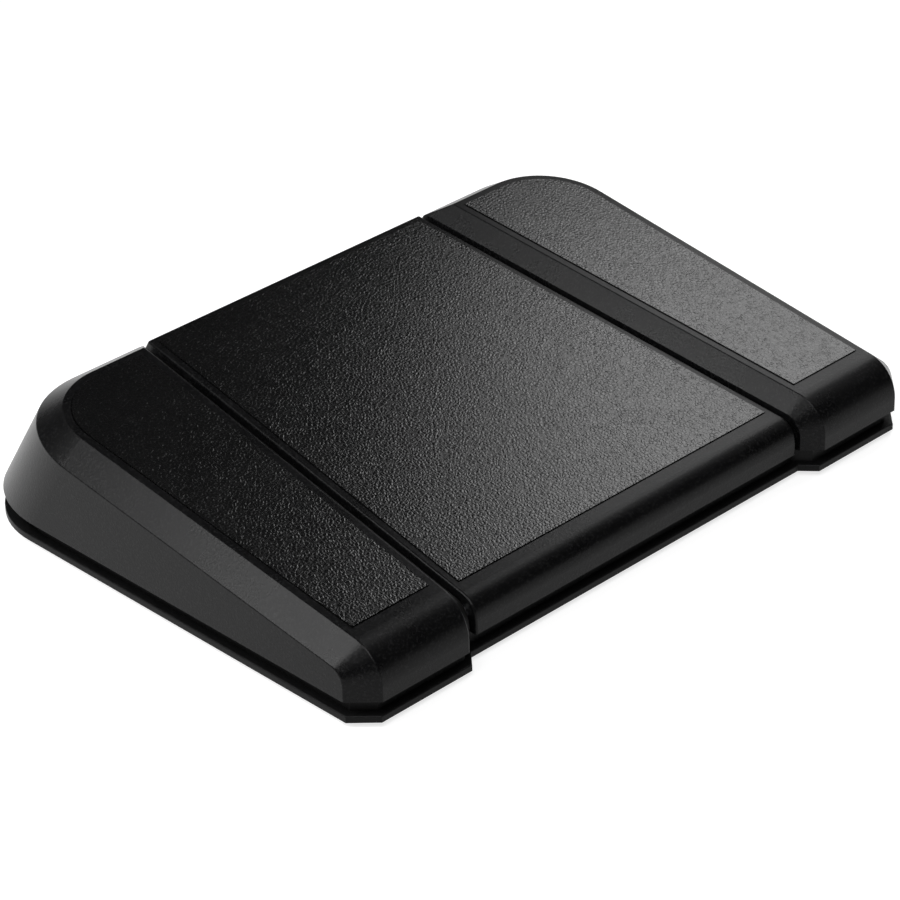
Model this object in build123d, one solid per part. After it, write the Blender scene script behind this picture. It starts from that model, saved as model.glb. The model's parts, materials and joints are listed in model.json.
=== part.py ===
from build123d import *
import os
from math import cos, hypot, pi, radians, sin, sqrt, tan

# Foot switch with three independent pedals on one base. Millimetres. X runs across the pedals, +Y to
# the back, +Z up; the origin is on the floor, under the middle of the outline.

# Whole form
overall_width = 243.0
overall_depth = 184.0
tread_slope = 8.45
back_lean = 32.9
front_radius = 12.5
front_wall = 4.4
corner_radius = 31.0
fan_angle = 4.15

# Stack under the pedals
foot_height = 2.0
plate_thickness = 2.2
shadow_gap = 5.0

# Pedal housings: walls, chamfers and steps
wall = 2.5
outer_chamfer = 8.0
outer_chamfer_drop = 6.55
inner_chamfer = 5.1
inner_chamfer_drop = 5.45
centre_step = 5.1
centre_half_front = 71.45
pedal_gap = 2.4
centre_edge_round = 0.8
side_edge_round = 0.6
inner_wall_rise = 4.6
inner_rise_start = 10.0
inner_rise_end = 1.0
rib_thickness = 1.6
rib_depth = 5.0
rib_first = 24.0
rib_lane = 17.0
rib_front_place = 30.0
rib_back_inset = 52.0
press_angle = 1.4

# Tread pads let into the pedals
pad_frame = 2.5
pad_front = 3.9
pad_recess = 0.8
pad_proud = 0.35
pad_gap = 0.25

# Base plate
plate_inset = 0.5
plate_front_chamfer = 7.35
plate_corner_radius = 32.5
plate_edge_round = 0.4
recess_depth = 5.05
recess_chamfer = 4.55
recess_overlap = 1.0

# Base tray
tray_inset = 3.0
tray_back_inset = 6.0
tray_floor = 2.0
tray_wall = 2.0
tray_wall_gap = 0.6

# Hinge shaft, its cradles, caps and bushes
shaft_radius = 2.5
shaft_end_gap = 4.0
clip_groove_depth = 0.6
clip_thickness = 1.0
clip_radius = 4.2
clip_inset = 1.6
cradle_width = 9.0
cradle_front = 4.4
cradle_back = 15.0
cradle_side_shift = 0.675
cradle_centre_inset = 31.45
cap_crown = 2.0
cap_ear = 2.6
cap_screw_place = 10.5
running_gap = 0.05
notch_gap = 0.8
bush_wall = 1.2
bush_flange = 0.8
bush_flange_width = 0.7
arm_thickness = 5.0
arm_radius = 4.9
arm_play = 1.5
arm_centre_inset = 13.45

# Screws: shank and pan head for caps and board, countersunk head for the base
screw_radius = 1.5
screw_head_radius = 2.75
screw_head_height = 1.7
screw_socket_radius = 1.2
screw_socket_depth = 0.9
cap_screw_length = 7.5
base_screw_length = 6.0
base_screw_side_inset = 9.5
base_screw_centre_inset = 21.45
base_screw_front = 24.0
base_screw_back_inset = 66.0
screw_boss_radius = 3.6
screw_boss_height = 5.5
screw_gap = 0.05

# Things under each pedal: across from the pedal's middle or edge, along from the hinge axis or the back
side_lane_shift = 3.675
centre_lane_inset = 33.45
switch_place = 42.0
spring_back_inset = 76.0
stop_back_inset = 60.0
hook_back_inset = 43.0

# Return springs
spring_radius = 5.0
spring_wire = 0.6
spring_turns = 6
spring_steps = 12
wire_sides = 5
post_sides = 16
spring_seat_height = 1.5
spring_seat_post = 3.6
spring_post_height = 3.0
spring_length = 18.0
spring_boss_radius = 6.6
seat_gap = 0.3

# Rubber stops and the hooks that hold the pedals at rest
stop_radius = 5.0
stop_height = 8.0
stop_ring = 1.4
stop_ring_height = 3.0
stop_boss_radius = 4.0
hook_width = 9.0
hook_thickness = 2.4
hook_toe = 2.6
hook_toe_height = 2.6
hook_room = 1.6
catch_thickness = 3.0
catch_lip_height = 2.4
hook_clearance = 0.6
hook_centre_inset = 23.45

# Lever microswitches
switch_length = 19.8
switch_width = 6.4
switch_height = 10.2
switch_rise = 3.8
switch_hole_spacing = 9.5
switch_hole_low = 2.7
switch_edge = 0.5
switch_screw_radius = 1.0
switch_screw_head_radius = 1.9
switch_screw_head_height = 1.2
switch_socket_radius = 0.8
switch_socket_depth = 0.6
bracket_thickness = 2.6
bracket_margin = 3.0
lever_pivot_rise = 1.5
lever_pivot_inset = 2.0
lever_pin_radius = 0.5
lever_eye_radius = 1.1
lever_ear = 0.7
lever_width = 3.6
lever_thickness = 0.4
lever_length = 17.0
lever_angle = 6.0
lever_contact = 14.0
lever_play = 0.2
plunger_place = 6.0
plunger_radius = 1.1
plunger_depth = 3.0
terminal_length = 3.4
terminal_width = 2.2
terminal_thickness = 0.5
terminal_spacing = 7.3
actuator_width = 5.0
actuator_thickness = 3.0
actuator_round = 1.0

# Control board, its parts and its inlet
board_width = 56.0
board_length = 32.0
board_thickness = 1.6
board_rise = 1.8
board_corner = 2.0
board_wall_gap = 0.6
board_post_radius = 3.0
board_hole_inset = 4.0
board_screw_length = 4.0
chip_size = 7.0
chip_height = 1.0
chip_shift = 12.0
plug_width = 7.5
plug_length = 5.0
plug_height = 4.2
plug_shift = 15.0
plug_edge_gap = 2.0
inlet_width = 8.94
inlet_height = 3.2
inlet_length = 7.35
inlet_shell = 0.3
inlet_corner = 1.2
inlet_floor = 1.0
inlet_setback = 0.5
tongue_width = 6.7
tongue_thickness = 0.7
tongue_length = 4.4
tower_half = 8.5
tower_over = 2.0
tower_window_gap = 0.35
port_notch_half = 11.0
port_notch_gap = 1.0

# Switch leads
lead_radius = 0.8
lead_bend = 2.2
lead_pitch = 2.4
lead_exit = 3.0
lead_row_gap = 21.7
lead_sides = 6
lead_row_inset = 22.9
lead_rise_start = 10.0
lead_rise_end = 4.0

# Rubber feet
foot_length = 46.0
foot_width = 13.0
foot_corner = 5.0
foot_side_inset = 33.5
foot_front_inset = 22.0
foot_back_inset = 24.0

# Overruns of cutting tools and unit shares
overrun = 2.0
nose_start_share = -0.1
nose_end_share = 1.1
far_share = 0.5
deep_share = 0.33
front_zone_share = 0.7

slope = radians(tread_slope)
lean = radians(back_lean)
fan = radians(fan_angle)
press = radians(press_angle)
half_width = overall_width / 2
front_y = -overall_depth / 2
plate_top = foot_height + plate_thickness
floor_top = plate_top + tray_floor
skirt_z = plate_top + shadow_gap
axis_y = front_y + front_radius
axis_z = skirt_z + front_wall
side_inner_front = centre_half_front + pedal_gap
side_middle = (side_inner_front + half_width) / 2
cradle_side_x = side_middle - cradle_side_shift
cradle_centre_x = centre_half_front - cradle_centre_inset
arm_reach = (cradle_width + arm_thickness) / 2 + arm_play
arm_centre_x = centre_half_front - arm_centre_inset
side_lane_x = side_middle - side_lane_shift
centre_lane_x = centre_half_front - centre_lane_inset
spring_place = overall_depth - spring_back_inset
stop_place = overall_depth - stop_back_inset
hook_place = overall_depth - hook_back_inset
hook_centre_x = centre_half_front - hook_centre_inset
rib_middle_place = (switch_place + lever_length + spring_place - spring_boss_radius) / 2
rib_places = (rib_front_place, rib_middle_place, overall_depth - rib_back_inset)
base_screw_side_x = half_width - base_screw_side_inset
base_screw_centre_x = centre_half_front - base_screw_centre_inset
base_screw_back = overall_depth - base_screw_back_inset
foot_side_x = half_width - foot_side_inset
foot_front_y = overall_depth / 2 - foot_front_inset
foot_back_y = overall_depth / 2 - foot_back_inset
bush_radius = shaft_radius + running_gap + bush_wall
spring_lanes = (-side_lane_x, -centre_lane_x, centre_lane_x, side_lane_x)
switch_lanes = ((-side_lane_x, -1), (0, 1), (side_lane_x, 1))
spring_top_z = floor_top + spring_seat_height + spring_length
hook_toe_z = floor_top + hook_room + hook_place * tan(press)
tray_back = -front_y - plate_inset - tray_back_inset
board_back = tray_back - tray_wall - board_wall_gap
board_low_z = floor_top + board_rise
board_top_z = board_low_z + board_thickness
inlet_z = board_top_z + inlet_height / 2
tower_top = board_top_z + inlet_height + tower_over
switch_pivot_y = axis_y + switch_place
switch_front_y = switch_pivot_y - lever_pivot_inset
switch_low_z = floor_top + switch_rise
switch_hole_z = switch_low_z + switch_hole_low
lever_pivot_z = switch_low_z + switch_height + lever_pivot_rise
lever_contact_z = (lever_pivot_z + lever_contact * tan(radians(lever_angle))
                   + lever_thickness / 2 / cos(radians(lever_angle)))
plunger_travel = plunger_place * tan(radians(lever_angle))
board_front = board_back - board_length
lead_row_side = switch_front_y + switch_length + lead_row_gap
lead_row_centre = board_front - lead_rise_start - lead_row_inset
lead_z = switch_low_z - terminal_length + lead_radius
hinge_plane = Plane(origin=(0, axis_y, axis_z), x_dir=(0, 1, 0), z_dir=(1, 0, 0))


def block(x0, x1, y0, y1, z0, z1):
    """Box between two opposite corners."""
    return Pos((x0 + x1) / 2, (y0 + y1) / 2, (z0 + z1) / 2) * Box(x1 - x0, y1 - y0, z1 - z0)


def post(x, y, z0, z1, radius):
    """Small upright post, faceted because many of them repeat."""
    return Pos(x, y, z0) * extrude(RegularPolygon(radius, post_sides), z1 - z0)


def rod(x0, x1, y, z, radius):
    """Round bar along X."""
    return Pos((x0 + x1) / 2, y, z) * Rot(0, 90, 0) * Cylinder(radius, x1 - x0)


def fan_x(x_front, y):
    """Place across of a fanned side wall at y, from its place at the front."""
    return x_front - (y - front_y) * tan(fan)


def inset_leg(leg, other, inset):
    """Leg of a square corner's chamfer when all its faces move in by inset."""
    return leg - inset * (leg + other - hypot(leg, other)) / other


def slope_plane(distance):
    """Plane parallel to the treads at a distance from the hinge axis, its Y running up to the back."""
    origin = (0, axis_y - distance * sin(slope), axis_z + distance * cos(slope))
    return Plane(origin=origin, x_dir=(1, 0, 0), z_dir=(0, -sin(slope), cos(slope)))


def slope_back(distance, back_inset):
    """Where the leaning back wall crosses slope_plane(distance), along that plane's Y."""
    reach = overall_depth - front_radius - back_inset / cos(lean) - front_wall * tan(lean)
    rise = distance * (sin(slope) - tan(lean) * cos(slope))
    return (reach + rise) / (cos(slope) + tan(lean) * sin(slope))


def slope_point_y(along, distance):
    """Y in the part's frame of a point on slope_plane(distance)."""
    return axis_y + along * cos(slope) - distance * sin(slope)


def side_outline(inset, back_inset, drop):
    """Side view of a pedal about the hinge axis: upright front, rounding, tread and leaning back."""
    radius = front_radius - inset
    low = -front_wall - drop
    crest_along = slope_back(radius, back_inset)
    crest = (crest_along * cos(slope) - radius * sin(slope), crest_along * sin(slope) + radius * cos(slope))
    back_foot = overall_depth - front_radius - back_inset / cos(lean) + drop * tan(lean)
    middle = pi * 3 / 4 + slope / 2
    front = Line((-radius, low), (-radius, 0))
    arc_middle = (radius * cos(middle), radius * sin(middle))
    arc_end = (-radius * sin(slope), radius * cos(slope))
    rounding = ThreePointArc((-radius, 0), arc_middle, arc_end)
    rest = Polyline(arc_end, crest, (back_foot, low), (-radius, low))
    return make_face(hinge_plane * (front + rounding + rest))


def crown(inset, leg, drop_leg):
    """Tapered block whose sides are the chamfer along the outer and back edges of a side pedal."""
    radius = front_radius - inset
    corner = (corner_radius - inset) / sqrt(cos(lean - slope))
    back = slope_back(radius - drop_leg, inset)

    def section(depth):
        """Outline of the block at a depth under the tread."""
        spread = depth * leg / drop_leg - leg
        side = half_width - inset + spread
        end = back + spread
        bend = corner + spread
        start = -overall_depth * far_share
        centre_x = side - bend
        centre_y = end - bend
        arc_middle = (centre_x + bend * cos(pi / 4), centre_y + bend * sin(pi / 4))
        lines = Polyline((centre_x, end), (0, end), (0, start), (side, start), (side, centre_y))
        arc = ThreePointArc((side, centre_y), arc_middle, (centre_x, end))
        return make_face(slope_plane(radius - depth) * (lines + arc))

    return loft([section(-overrun), section(overall_depth * deep_share)], ruled=True)


def nose(inset, leg, drop_leg):
    """Block whose outer end carries that chamfer round the front rounding and down the corner."""
    radius = front_radius - inset

    def section(x, share):
        """Outline at x, where share runs from 0 at the chamfer's inner edge to 1 at its outer one."""
        bend = radius - share * (leg + drop_leg) / 2
        centre_v = bend - radius + leg * share
        centre_w = (radius - drop_leg * share - bend + centre_v * sin(slope)) / cos(slope)
        low = -overall_depth * far_share
        far = overall_depth * (1 + far_share)
        start = (centre_v - bend, centre_w)
        end = (centre_v - bend * sin(slope), centre_w + bend * cos(slope))
        middle = pi * 3 / 4 + slope / 2
        arc_middle = (centre_v + bend * cos(middle), centre_w + bend * sin(middle))
        ridge = (end[0] + far * cos(slope), end[1] + far * sin(slope))
        arc = ThreePointArc(start, arc_middle, end)
        lines = Polyline(end, ridge, (ridge[0], low), (start[0], low), start)
        return make_face(hinge_plane.offset(x) * (arc + lines))

    def place(share):
        """Place across for a share of the chamfer."""
        return half_width - inset - leg * (1 - share)

    start_x = place(nose_start_share)
    end_x = place(nose_end_share)
    sections = [section(0, nose_start_share), section(start_x, nose_start_share)]
    return loft(sections + [section(end_x, nose_end_share)], ruled=True)


def fan_plane(x_front, side):
    """Upright plane of a fanned side wall, facing away from the middle on side 1 or -1."""
    return Plane(origin=(side * x_front, front_y, 0), x_dir=(0, 0, 1), z_dir=(side * cos(fan), sin(fan), 0))


def side_form(inset, drop):
    """Right pedal's outer form, or its hollow when it is set in by the wall."""
    leg = inset_leg(outer_chamfer, outer_chamfer_drop, inset)
    drop_leg = inset_leg(outer_chamfer_drop, outer_chamfer, inset)
    form = extrude(side_outline(inset, inset, drop), half_width - inset, dir=(1, 0, 0))
    form = split(form, bisect_by=fan_plane(side_inner_front + inset / cos(fan), 1), keep=Keep.TOP)
    leaning_edge = form.edges().group_by(Axis.X)[-1].sort_by(Axis.Y)[-1]
    form = fillet(leaning_edge, corner_radius - inset)
    form = form & crown(inset, leg, drop_leg) & nose(inset, leg, drop_leg)
    inner_face = form.faces().sort_by(lambda face: face.normal_at().X)[0]
    chain = [edge for edge in inner_face.edges()
             if edge.center().Z > skirt_z - drop + overrun / 4
             and edge.center().Y < front_y + overall_depth * front_zone_share]
    inner_leg = inset_leg(inner_chamfer, inner_chamfer_drop, inset)
    inner_drop = inset_leg(inner_chamfer_drop, inner_chamfer, inset)
    return chamfer(chain, inner_drop, inner_leg, reference=inner_face)


def centre_form(inset, drop):
    """Centre pedal's outer form, or its hollow when it is set in by the wall."""
    reach = centre_half_front - inset / cos(fan)
    form = extrude(side_outline(centre_step + inset, inset, drop), centre_half_front, both=True)
    for side in (-1, 1):
        form = split(form, bisect_by=fan_plane(reach, side), keep=Keep.BOTTOM)
    return form


def soften_side(form):
    """Small rounding along every edge of a side pedal but those round its open underside."""
    edges = [edge for edge in form.edges() if edge.center().Z > skirt_z + side_edge_round / 2]
    return fillet(edges, side_edge_round)


def soften_centre(form):
    """Small rounding along the centre pedal's side edges and its back edge."""
    side_faces = form.faces().sort_by(lambda face: abs(face.normal_at().X))[-2:]
    edges = [edge for face in side_faces for edge in face.edges() if edge.center().Z > skirt_z + overrun / 4]
    edges.append(form.edges().filter_by(Axis.X).sort_by(Axis.Z)[-1])
    return fillet(edges, centre_edge_round)


def side_pad(grow, thickness, lift):
    """Right tread pad, or its pocket; grow moves its sides out and lift raises its underside."""
    leg = outer_chamfer
    radius = front_radius
    frame = pad_frame - grow
    start = pad_front - grow
    back = slope_back(radius - outer_chamfer_drop, 0) - leg - frame
    side = half_width - leg - frame
    bend = corner_radius / sqrt(cos(lean - slope)) - leg - frame
    inner_front = side_inner_front + inner_chamfer + frame
    near = (fan_x(inner_front, slope_point_y(start, radius)), start)
    far = (fan_x(inner_front, slope_point_y(back, radius)), back)
    arc_middle = (side - bend + bend * cos(pi / 4), back - bend + bend * sin(pi / 4))
    arc = ThreePointArc((side, back - bend), arc_middle, (side - bend, back))
    lines = Polyline((side - bend, back), far, near, (side, start), (side, back - bend))
    outline = make_face(slope_plane(radius + lift) * (lines + arc))
    return extrude(outline, thickness, dir=slope_plane(0).z_dir)


def centre_pad(grow, thickness, lift):
    """Centre tread pad, or its pocket."""
    radius = front_radius - centre_step
    frame = pad_frame - grow
    start = pad_front - grow
    back = slope_back(radius, 0) - frame
    near_x = fan_x(centre_half_front - frame, slope_point_y(start, radius))
    far_x = fan_x(centre_half_front - frame, slope_point_y(back, radius))
    lines = Polyline((-near_x, start), (near_x, start), (far_x, back), (-far_x, back), (-near_x, start))
    outline = make_face(slope_plane(radius + lift) * lines)
    return extrude(outline, thickness, dir=slope_plane(0).z_dir)


def behind(place):
    """Y of a place measured back from the hinge axis."""
    return axis_y + place


def sink(place):
    """How far a place behind the hinge axis goes down when its pedal is pressed."""
    return place * tan(press)


def bearing_arm(x):
    """Arm that hangs from a pedal's roof round the hinge axis, still without its bore."""
    half = arm_thickness / 2
    web = block(x - half, x + half, axis_y - arm_radius, axis_y + arm_radius, axis_z, axis_z + 2 * front_radius)
    return web + rod(x - half, x + half, axis_y, axis_z, arm_radius)


def spring_boss(x, top):
    """Boss that a return spring pushes against, with the post inside the spring."""
    y = behind(spring_place)
    low = spring_top_z + seat_gap
    return post(x, y, low, top, spring_boss_radius) + post(x, y, low - spring_post_height, low, spring_seat_post)


def stop_boss(x, top):
    """Boss that meets the rubber stop at the end of travel."""
    y = behind(stop_place)
    return post(x, y, floor_top + stop_height + sink(stop_place) + seat_gap, top, stop_boss_radius)


def hook_leg(x, top):
    """Leg whose toe rests under the tray's catch and keeps the pedal from rising."""
    y = behind(hook_place)
    half = hook_width / 2
    leg = block(x - half, x + half, y - hook_thickness, y, hook_toe_z, top)
    toe = block(x - half, x + half, y, y + hook_toe, hook_toe_z, hook_toe_z + hook_toe_height)
    return leg + toe


def actuator(x, top):
    """Rib that presses the switch lever, rounded along its lower edge."""
    y = behind(switch_place + lever_contact)
    half = actuator_width / 2
    thick = actuator_thickness / 2
    low = lever_contact_z + lever_play
    rib = block(x - half, x + half, y - thick, y + thick, low, top)
    return fillet(rib.edges().filter_by(Axis.X).group_by(Axis.Z)[0], actuator_round)


def ribs(x_places, x_low, x_high, top):
    """Stiffening ribs under a roof: long ones at x_places and cross ones between two walls."""
    solid = Part()
    half = rib_thickness / 2
    for x in x_places:
        solid += block(x - half, x + half, behind(rib_first), -front_y, skirt_z, top)
    for place in rib_places:
        y0 = behind(place)
        solid += block(x_low, x_high, y0, y0 + rib_thickness, skirt_z, top)
    return solid


def roof_band(form_radius):
    """Slanted slab under a roof, rib_depth deep, that keeps the ribs to the roof."""
    inner = form_radius - wall
    return extrude(slope_plane(inner - rib_depth) * Rectangle(overall_width * 2, overall_depth * 3),
                   rib_depth + wall / 2, dir=slope_plane(0).z_dir)


def shaft_notch(side):
    """Slot through the inner side walls of two neighbouring pedals where the hinge shaft passes."""
    half = shaft_radius + notch_gap
    x0 = centre_half_front - wall - overrun
    x1 = side_inner_front + wall + overrun
    solid = block(x0, x1, axis_y - half, axis_y + half, skirt_z - overrun, axis_z)
    solid += rod(x0, x1, axis_y, axis_z, half)
    return solid if side > 0 else mirror(solid, about=Plane.YZ)


def wall_rise(side):
    """Space under the inner side walls, which stop short of the tray while the pedals go down."""
    x0 = fan_x(centre_half_front, -front_y) - wall - overrun
    x1 = side_inner_front + wall + overrun
    y0 = front_y + inner_rise_start
    y1 = tray_back + inner_rise_end
    solid = block(x0, x1, y0, y1, skirt_z - overrun, skirt_z + inner_wall_rise)
    return solid if side > 0 else mirror(solid, about=Plane.YZ)


def side_housing():
    """Right pedal housing: moulded shell, bearing arms, bosses, ribs and hook."""
    form = side_form(0, 0)
    top = axis_z + overall_depth * deep_share
    inside = bearing_arm(cradle_side_x - arm_reach) + bearing_arm(cradle_side_x + arm_reach)
    inside += spring_boss(side_lane_x, top) + stop_boss(side_lane_x, top)
    inside += hook_leg(side_lane_x, top) + actuator(side_lane_x, top)
    lanes = (side_lane_x - rib_lane, side_lane_x + rib_lane)
    rib_set = ribs(lanes, 0, half_width, top)
    inside += rib_set & roof_band(front_radius)
    solid = (soften_side(form) - side_form(wall, overrun)) + (inside & side_form(wall / 2, 0))
    solid -= side_pad(0, pad_recess + pad_proud + overrun, -pad_recess)
    for x in (cradle_side_x - arm_reach, cradle_side_x + arm_reach):
        solid -= rod(x - arm_thickness, x + arm_thickness, axis_y, axis_z, bush_radius)
    return solid - shaft_notch(1) - wall_rise(1)


def centre_housing():
    """Centre pedal housing, lower than its neighbours, with the notch for the cable plug."""
    form = centre_form(0, 0)
    top = axis_z + overall_depth * deep_share
    inside = Part()
    for side in (-1, 1):
        inside += bearing_arm(side * arm_centre_x)
        inside += spring_boss(side * centre_lane_x, top) + stop_boss(side * centre_lane_x, top)
        inside += hook_leg(side * hook_centre_x, top)
    inside += actuator(0, top)
    lanes = (-rib_lane, rib_lane, -rib_lane * 3, rib_lane * 3)
    rib_set = ribs(lanes, -centre_half_front, centre_half_front, top)
    inside += rib_set & roof_band(front_radius - centre_step)
    solid = (soften_centre(form) - centre_form(wall, overrun)) + (inside & centre_form(wall / 2, 0))
    solid -= centre_pad(0, pad_recess + pad_proud + overrun, -pad_recess)
    for side in (-1, 1):
        x = side * arm_centre_x
        solid -= rod(x - arm_thickness, x + arm_thickness, axis_y, axis_z, bush_radius)
        solid = solid - shaft_notch(side) - wall_rise(side)
    notch_top = tower_top + sink(overall_depth) + port_notch_gap
    notch_front = tray_back - tray_wall - overrun
    return solid - block(-port_notch_half, port_notch_half, notch_front, -front_y + overrun,
                         skirt_z - overrun, notch_top)


def bushes(places):
    """Flanged bushes pressed in a pedal's bearing arms, each flange on the side of its cradle."""
    solids = []
    for x, toward in places:
        half = arm_thickness / 2
        face = x + toward * half
        rim = face + toward * bush_flange
        sleeve = rod(x - half, x + half, axis_y, axis_z, bush_radius)
        flange = rod(min(face, rim), max(face, rim), axis_y, axis_z, bush_radius + bush_flange_width)
        bore = rod(x - arm_thickness, x + arm_thickness, axis_y, axis_z, shaft_radius + running_gap)
        solids.append(sleeve + flange - bore)
    return group(solids)


def group(solids):
    """Separate solids of one node."""
    return Compound(children=[solid for item in solids for solid in item.solids()])


def plate_outline(sides, back, corner_less):
    """Plan of the base, moved in by sides along the front and sides and by back at the back."""
    edge = half_width - plate_inset - sides
    front = front_y + plate_inset + sides
    rear = -front_y - plate_inset - back
    recess = front + recess_depth
    recess_x = side_inner_front - recess_overlap
    cut = plate_front_chamfer - sides * (2 - sqrt(2))
    bend = plate_corner_radius - corner_less
    right = [(0, recess), (recess_x, recess), (recess_x + recess_chamfer, front), (edge - cut, front),
             (edge, front + cut), (edge, rear - bend)]
    arc_middle = (edge - bend + bend * cos(pi / 4), rear - bend + bend * sin(pi / 4))
    half = Polyline(*right) + ThreePointArc(right[-1], arc_middle, (edge - bend, rear))
    half += Polyline((edge - bend, rear), (0, rear), (0, recess))
    face = make_face(half)
    return face + mirror(face, about=Plane.YZ)


def prism(face, z0, z1):
    """Upright prism on a plan."""
    return extrude(Pos(0, 0, z0) * face, z1 - z0, dir=(0, 0, 1))


def base_screw_places():
    """Places of the screws that hold the plate to the tray."""
    return [(side * x, behind(place)) for side in (-1, 1)
            for x in (base_screw_side_x, base_screw_centre_x)
            for place in (base_screw_front, base_screw_back)]


def base_plate():
    """Steel plate that shows as the thin flange round the switch."""
    solid = prism(plate_outline(0, 0, 0), foot_height, plate_top)
    solid = fillet(solid.edges().group_by(Axis.Z)[-1], plate_edge_round)
    for x, y in base_screw_places():
        solid -= post(x, y, foot_height, plate_top, screw_radius + screw_gap)
        solid -= countersink(x, y)
    return solid


def countersink(x, y):
    """Cone of a countersunk head, flush with the plate's underside."""
    cone = Cone(screw_head_radius, screw_radius, screw_head_height)
    return Pos(x, y, foot_height + screw_head_height / 2) * cone


def base_screws():
    """Countersunk screws from under the plate into the tray."""
    solids = []
    for x, y in base_screw_places():
        socket = prism(Pos(x, y) * RegularPolygon(screw_socket_radius, 6), foot_height,
                       foot_height + screw_socket_depth)
        shank = post(x, y, foot_height, foot_height + base_screw_length, screw_radius)
        solids.append(shank + countersink(x, y) - socket)
    return group(solids)


def pan_screw(length, radius, head_radius, head_height, socket_radius, socket_depth):
    """Pan head screw standing on its point, with the underside of its head at the origin."""
    head = post(0, 0, 0, head_height, head_radius)
    head = chamfer(head.edges().group_by(Axis.Z)[-1], head_height / 3)
    shank = post(0, 0, -length, 0, radius)
    socket = prism(RegularPolygon(socket_radius, 6), head_height - socket_depth, head_height)
    return head + shank - socket


def case_screw(length):
    """Pan head screw of the size for caps and board."""
    return pan_screw(length, screw_radius, screw_head_radius, screw_head_height,
                     screw_socket_radius, screw_socket_depth)


def rubber_feet():
    """Four rubber pads under the plate."""
    solids = []
    for x in (-foot_side_x, foot_side_x):
        for y in (-foot_front_y, foot_back_y):
            outline = Pos(x, y) * RectangleRounded(foot_length, foot_width, foot_corner)
            solids.append(prism(outline, 0, foot_height))
    return group(solids)


def cradle(x):
    """Support with an open groove for the hinge shaft and a hole for its cap's screw."""
    half = cradle_width / 2
    solid = block(x - half, x + half, axis_y - cradle_front, axis_y + cradle_back, floor_top, axis_z)
    solid -= rod(x - half, x + half, axis_y, axis_z, shaft_radius)
    y = behind(cap_screw_place)
    return solid - post(x, y, axis_z - cap_screw_length, axis_z, screw_radius + screw_gap)


def shaft_cap(x):
    """Cap that closes a cradle over the hinge shaft."""
    half = cradle_width / 2
    crown_radius = shaft_radius + cap_crown
    hump = rod(x - half, x + half, axis_y, axis_z, crown_radius)
    hump &= block(x - half, x + half, axis_y - crown_radius, axis_y + crown_radius, axis_z, axis_z + crown_radius)
    solid = hump + block(x - half, x + half, axis_y, axis_y + cradle_back, axis_z, axis_z + cap_ear)
    solid -= rod(x - half, x + half, axis_y, axis_z, shaft_radius)
    y = behind(cap_screw_place)
    return solid - post(x, y, axis_z, axis_z + cap_ear, screw_radius + screw_gap)


def switch_bracket(x, side):
    """Upright wall beside a switch body, with two holes for its screws."""
    x0 = x + side * switch_width / 2
    x1 = x0 + side * bracket_thickness
    y0 = switch_front_y + bracket_margin / 2
    y1 = switch_front_y + switch_length - bracket_margin / 2
    top = switch_low_z + switch_height - bracket_margin
    solid = block(min(x0, x1), max(x0, x1), y0, y1, floor_top, top)
    for y in switch_holes():
        solid -= rod(min(x0, x1), max(x0, x1), y, switch_hole_z, switch_screw_radius + screw_gap)
    return solid


def switch_holes():
    """Y places of a switch body's two mounting holes."""
    middle = switch_front_y + switch_length / 2
    return (middle - switch_hole_spacing / 2, middle + switch_hole_spacing / 2)


def switch_body(x):
    """Microswitch body with its mounting holes, plunger hole and lever ears."""
    half = switch_width / 2
    y1 = switch_front_y + switch_length
    solid = block(x - half, x + half, switch_front_y, y1, switch_low_z, switch_low_z + switch_height)
    solid = chamfer(solid.edges().filter_by(Axis.X), switch_edge)
    for y in switch_holes():
        solid -= rod(x - half, x + half, y, switch_hole_z, switch_screw_radius + screw_gap)
    top = switch_low_z + switch_height
    y = switch_pivot_y
    gap = lever_width / 2 + running_gap * 2
    for side in (-1, 1):
        x0 = x + side * gap
        x1 = x0 + side * lever_ear
        ear = block(min(x0, x1), max(x0, x1), y - lever_eye_radius, y + lever_eye_radius, top, lever_pivot_z)
        solid += ear + rod(min(x0, x1), max(x0, x1), y, lever_pivot_z, lever_eye_radius)
    solid += rod(x - gap, x + gap, y, lever_pivot_z, lever_pin_radius)
    return solid - post(x, y + plunger_place, top - plunger_depth, top, plunger_radius + running_gap)


def switch_lever(x):
    """Spring steel lever with a rolled eye on the switch's pin, raised at rest by lever_angle."""
    half = lever_width / 2
    arm = block(-half, half, 0, lever_length, -lever_thickness / 2, lever_thickness / 2)
    arm += rod(-half, half, 0, 0, lever_eye_radius)
    arm -= rod(-lever_width, lever_width, 0, 0, lever_pin_radius + running_gap)
    return Pos(x, switch_pivot_y, lever_pivot_z) * Rot(lever_angle, 0, 0) * arm


def switch_plunger(x):
    """Plunger between the lever and the contacts inside."""
    y = switch_pivot_y + plunger_place
    low = switch_low_z + switch_height - plunger_depth + plunger_travel + lever_play
    under = lever_pivot_z + plunger_place * tan(radians(lever_angle)) - lever_thickness
    solid = post(x, y, low, under - lever_play, plunger_radius)
    return chamfer(solid.edges().group_by(Axis.Z)[-1], plunger_radius / 3)


def terminal_places():
    """Y places of the three terminals under a switch body."""
    middle = switch_front_y + switch_length / 2
    return (middle - terminal_spacing, middle, middle + terminal_spacing)


def switch_terminals(x):
    """Three blades under a switch body."""
    half = terminal_width / 2
    thick = terminal_thickness / 2
    return [block(x - thick, x + thick, y - half, y + half, switch_low_z - terminal_length, switch_low_z)
            for y in terminal_places()]


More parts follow.
